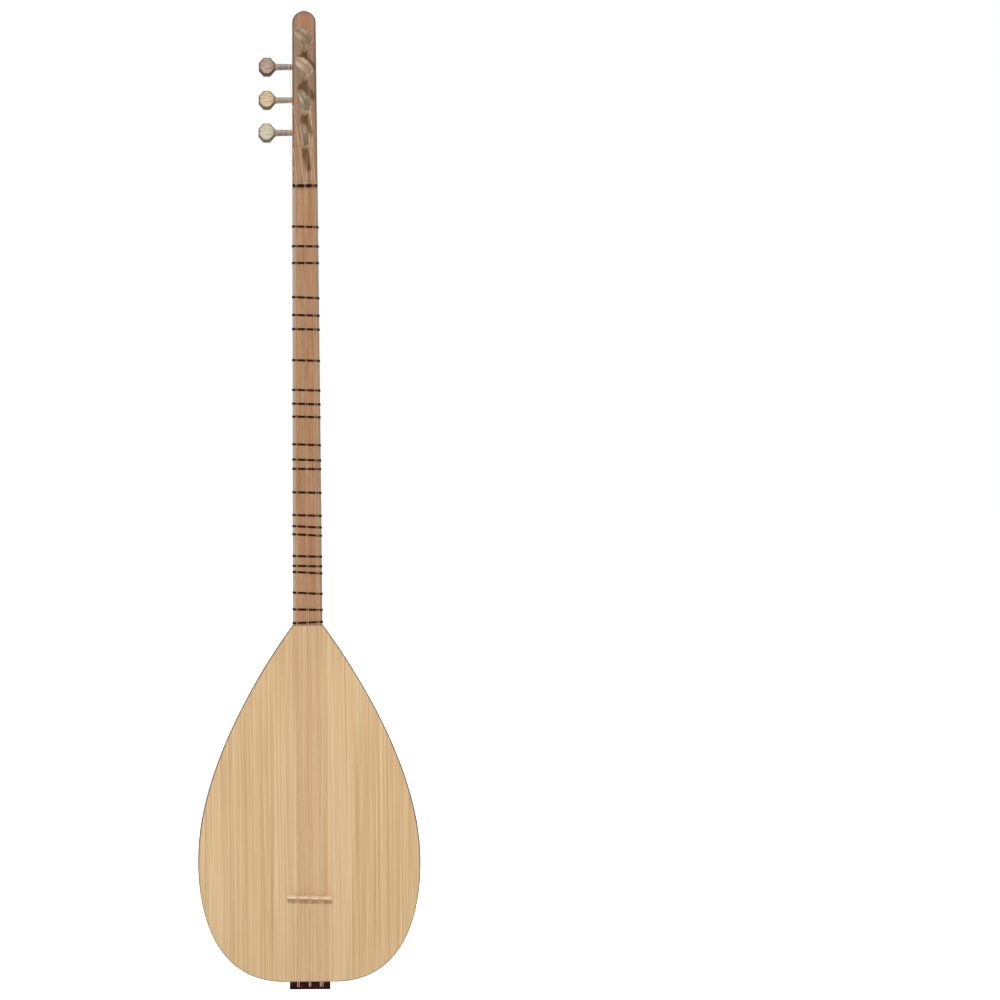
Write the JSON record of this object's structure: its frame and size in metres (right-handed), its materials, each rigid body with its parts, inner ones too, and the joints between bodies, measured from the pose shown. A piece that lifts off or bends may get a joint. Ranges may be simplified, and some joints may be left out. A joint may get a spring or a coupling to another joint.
{
  "type": "long-neck saz",
  "caption": "Long-necked lute with a carved pear-shaped bowl, flat soundboard, movable tied frets, strings in three courses, and front and side tuning pegs on a tilted head.",
  "frame": {"origin": "on the flat end face of the tailpiece, in the plane of the soundboard's face, on the centre line", "axes": "+Z along the neck towards the nut, -Y out of the soundboard towards the listener, +X to the right seen from the front"},
  "size_m": [0.2646, 0.1804, 1.1727],
  "materials": {
    "spruce": "satin",
    "stained_wood": "gloss lacquer",
    "neck_wood": "gloss lacquer",
    "fingerboard_wood": "satin",
    "boxwood": "satin",
    "bridge_wood": "satin",
    "dark_wood": "gloss lacquer",
    "black_nut": "polished",
    "tie_line": "nylon line",
    "string_steel": "bare steel"
  },
  "bodies": {
    "saz": {"bowl": "stained_wood", "soundboard": "spruce", "upper_brace": "spruce", "lower_brace": "spruce", "neck": "neck_wood", "fingerboard": "fingerboard_wood", "head": "neck_wood", "nut": "black_nut", "tailpiece": "dark_wood", "string_1": "string_steel", "string_2": "string_steel", "string_3": "string_steel", "string_4": "string_steel", "string_5": "string_steel", "string_6": "string_steel", "string_7": "string_steel"},
    "front_peg_1": {"front_peg_1": "boxwood", "front_winding_1": "string_steel"},
    "front_peg_2": {"front_peg_2": "boxwood", "front_winding_2": "string_steel"},
    "front_peg_3": {"front_peg_3": "boxwood", "front_winding_3": "string_steel"},
    "front_peg_4": {"front_peg_4": "boxwood", "front_winding_4": "string_steel"},
    "side_peg_1": {"side_peg_1": "boxwood", "side_winding_1": "string_steel"},
    "side_peg_2": {"side_peg_2": "boxwood", "side_winding_2": "string_steel"},
    "side_peg_3": {"side_peg_3": "boxwood", "side_winding_3": "string_steel"},
    "bridge": {"bridge": "bridge_wood"},
    "fret_01": {"fret_01": "tie_line"},
    "fret_02": {"fret_02": "tie_line"},
    "fret_03": {"fret_03": "tie_line"},
    "fret_04": {"fret_04": "tie_line"},
    "fret_05": {"fret_05": "tie_line"},
    "fret_06": {"fret_06": "tie_line"},
    "fret_07": {"fret_07": "tie_line"},
    "fret_08": {"fret_08": "tie_line"},
    "fret_09": {"fret_09": "tie_line"},
    "fret_10": {"fret_10": "tie_line"},
    "fret_11": {"fret_11": "tie_line"},
    "fret_12": {"fret_12": "tie_line"},
    "fret_13": {"fret_13": "tie_line"},
    "fret_14": {"fret_14": "tie_line"},
    "fret_15": {"fret_15": "tie_line"},
    "fret_16": {"fret_16": "tie_line"},
    "fret_17": {"fret_17": "tie_line"},
    "fret_18": {"fret_18": "tie_line"},
    "fret_19": {"fret_19": "tie_line"},
    "fret_20": {"fret_20": "tie_line"},
    "fret_21": {"fret_21": "tie_line"},
    "fret_22": {"fret_22": "tie_line"},
    "fret_23": {"fret_23": "tie_line"}
  },
  "joints": [
    {"name": "front_peg_1_turn", "type": "hinge", "parent": "saz", "child": "front_peg_1", "pos_m": [0, 0.0433, 1.12148], "axis": [0, -0.9703, 0.2419], "continuous": true},
    {"name": "front_peg_2_turn", "type": "hinge", "parent": "saz", "child": "front_peg_2", "pos_m": [0, 0.03382, 1.08345], "axis": [0, -0.9703, 0.2419], "continuous": true},
    {"name": "front_peg_3_turn", "type": "hinge", "parent": "saz", "child": "front_peg_3", "pos_m": [0, 0.02284, 1.0394], "axis": [0, -0.9703, 0.2419], "continuous": true},
    {"name": "front_peg_4_turn", "type": "hinge", "parent": "saz", "child": "front_peg_4", "pos_m": [0, 0.0121, 0.99631], "axis": [0, -0.9703, 0.2419], "continuous": true},
    {"name": "side_peg_1_turn", "type": "hinge", "parent": "saz", "child": "side_peg_1", "pos_m": [-0.01448, 0.04824, 1.10201], "axis": [-1, 0, 0], "continuous": true},
    {"name": "side_peg_2_turn", "type": "hinge", "parent": "saz", "child": "side_peg_2", "pos_m": [-0.01462, 0.03745, 1.05873], "axis": [-1, 0, 0], "continuous": true},
    {"name": "side_peg_3_turn", "type": "hinge", "parent": "saz", "child": "side_peg_3", "pos_m": [-0.01476, 0.02697, 1.01672], "axis": [-1, 0, 0], "continuous": true},
    {"name": "bridge_slide", "type": "slide", "parent": "saz", "child": "bridge", "axis": [0, 0, 1], "range_m": [-0.002, 0.002]},
    {"name": "fret_01_slide", "type": "slide", "parent": "saz", "child": "fret_01", "axis": [0, 0, 1], "range_m": [-0.003, 0.003]},
    {"name": "fret_02_slide", "type": "slide", "parent": "saz", "child": "fret_02", "axis": [0, 0, 1], "range_m": [-0.003, 0.003]},
    {"name": "fret_03_slide", "type": "slide", "parent": "saz", "child": "fret_03", "axis": [0, 0, 1], "range_m": [-0.003, 0.003]},
    {"name": "fret_04_slide", "type": "slide", "parent": "saz", "child": "fret_04", "axis": [0, 0, 1], "range_m": [-0.003, 0.003]},
    {"name": "fret_05_slide", "type": "slide", "parent": "saz", "child": "fret_05", "axis": [0, 0, 1], "range_m": [-0.003, 0.003]},
    {"name": "fret_06_slide", "type": "slide", "parent": "saz", "child": "fret_06", "axis": [0, 0, 1], "range_m": [-0.003, 0.003]},
    {"name": "fret_07_slide", "type": "slide", "parent": "saz", "child": "fret_07", "axis": [0, 0, 1], "range_m": [-0.003, 0.003]},
    {"name": "fret_08_slide", "type": "slide", "parent": "saz", "child": "fret_08", "axis": [0, 0, 1], "range_m": [-0.003, 0.003]},
    {"name": "fret_09_slide", "type": "slide", "parent": "saz", "child": "fret_09", "axis": [0, 0, 1], "range_m": [-0.003, 0.003]},
    {"name": "fret_10_slide", "type": "slide", "parent": "saz", "child": "fret_10", "axis": [0, 0, 1], "range_m": [-0.003, 0.003]},
    {"name": "fret_11_slide", "type": "slide", "parent": "saz", "child": "fret_11", "axis": [0, 0, 1], "range_m": [-0.003, 0.003]},
    {"name": "fret_12_slide", "type": "slide", "parent": "saz", "child": "fret_12", "axis": [0, 0, 1], "range_m": [-0.003, 0.003]},
    {"name": "fret_13_slide", "type": "slide", "parent": "saz", "child": "fret_13", "axis": [0, 0, 1], "range_m": [-0.003, 0.003]},
    {"name": "fret_14_slide", "type": "slide", "parent": "saz", "child": "fret_14", "axis": [0, 0, 1], "range_m": [-0.003, 0.003]},
    {"name": "fret_15_slide", "type": "slide", "parent": "saz", "child": "fret_15", "axis": [0, 0, 1], "range_m": [-0.003, 0.003]},
    {"name": "fret_16_slide", "type": "slide", "parent": "saz", "child": "fret_16", "axis": [0, 0, 1], "range_m": [-0.003, 0.003]},
    {"name": "fret_17_slide", "type": "slide", "parent": "saz", "child": "fret_17", "axis": [0, 0, 1], "range_m": [-0.003, 0.003]},
    {"name": "fret_18_slide", "type": "slide", "parent": "saz", "child": "fret_18", "axis": [0, 0, 1], "range_m": [-0.003, 0.003]},
    {"name": "fret_19_slide", "type": "slide", "parent": "saz", "child": "fret_19", "axis": [0, 0, 1], "range_m": [-0.003, 0.003]},
    {"name": "fret_20_slide", "type": "slide", "parent": "saz", "child": "fret_20", "axis": [0, 0, 1], "range_m": [-0.003, 0.003]},
    {"name": "fret_21_slide", "type": "slide", "parent": "saz", "child": "fret_21", "axis": [0, 0, 1], "range_m": [-0.003, 0.003]},
    {"name": "fret_22_slide", "type": "slide", "parent": "saz", "child": "fret_22", "axis": [0, 0, 1], "range_m": [-0.003, 0.003]},
    {"name": "fret_23_slide", "type": "slide", "parent": "saz", "child": "fret_23", "axis": [0, 0, 1], "range_m": [-0.0005, 0.003]}
  ]
}
